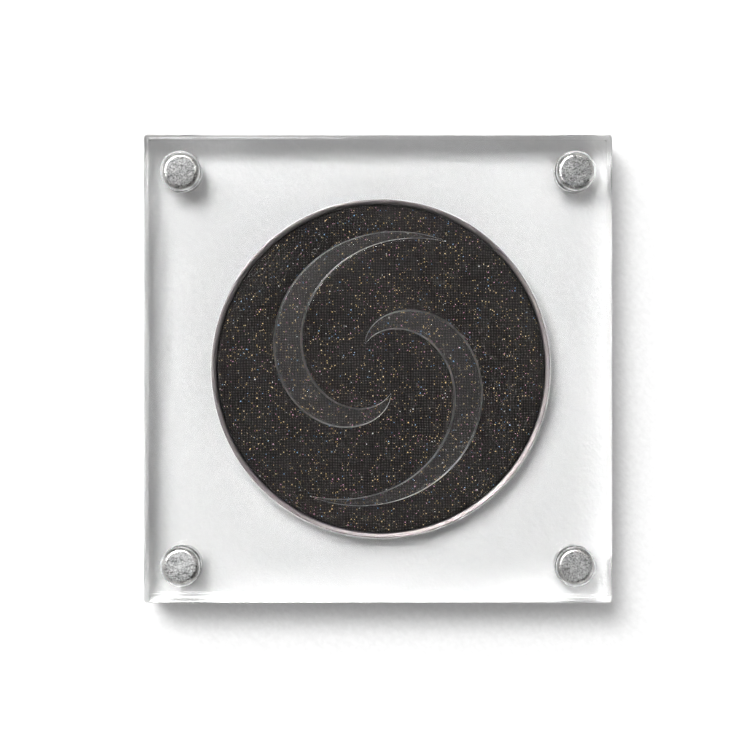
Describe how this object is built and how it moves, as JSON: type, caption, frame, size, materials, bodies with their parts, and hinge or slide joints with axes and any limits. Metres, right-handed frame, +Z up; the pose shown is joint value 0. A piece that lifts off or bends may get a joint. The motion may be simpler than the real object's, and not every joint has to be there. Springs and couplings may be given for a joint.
{
  "type": "magnetic eyeshadow compact",
  "caption": "Square clear acrylic compact holding one round pan of dark glitter eyeshadow, with a lift-off clear lid held by disc magnets in its corners.",
  "frame": {"origin": "centre of the base's underside, on the surface that the compact lies on", "axes": "+Z up through the lid, +X to the right and +Y to the back of someone who looks down on the lid"},
  "size_m": [0.05, 0.05, 0.0105],
  "materials": {
    "clear_acrylic": "polished clear cast acrylic",
    "magnet_nickel": "satin nickel plating",
    "clear_glue": "slightly hazy clear glue film",
    "pan_aluminium": "drawn aluminium with a rolled rim",
    "charcoal_powder": "pressed matte charcoal powder with fine gold glitter and a woven press mark",
    "pad_foam": "white adhesive foam",
    "label_paper": "blank matt paper"
  },
  "bodies": {
    "base": {"base_block": "clear_acrylic", "base_magnet_front_left": "magnet_nickel", "base_magnet_front_right": "magnet_nickel", "base_magnet_back_left": "magnet_nickel", "base_magnet_back_right": "magnet_nickel", "base_magnet_adhesive_front_left": "clear_glue", "base_magnet_adhesive_front_right": "clear_glue", "base_magnet_adhesive_back_left": "clear_glue", "base_magnet_adhesive_back_right": "clear_glue", "eyeshadow_pan": "pan_aluminium", "pressed_powder": "charcoal_powder", "pan_adhesive_pad": "pad_foam", "underside_label": "label_paper"},
    "lid": {"lid_block": "clear_acrylic", "lid_magnet_front_left": "magnet_nickel", "lid_magnet_front_right": "magnet_nickel", "lid_magnet_back_left": "magnet_nickel", "lid_magnet_back_right": "magnet_nickel", "lid_magnet_adhesive_front_left": "clear_glue", "lid_magnet_adhesive_front_right": "clear_glue", "lid_magnet_adhesive_back_left": "clear_glue", "lid_magnet_adhesive_back_right": "clear_glue"}
  },
  "joints": [
    {"name": "lid_lift", "type": "slide", "parent": "base", "child": "lid", "axis": [0, 0, 1], "range_m": [0, 0.03]}
  ]
}
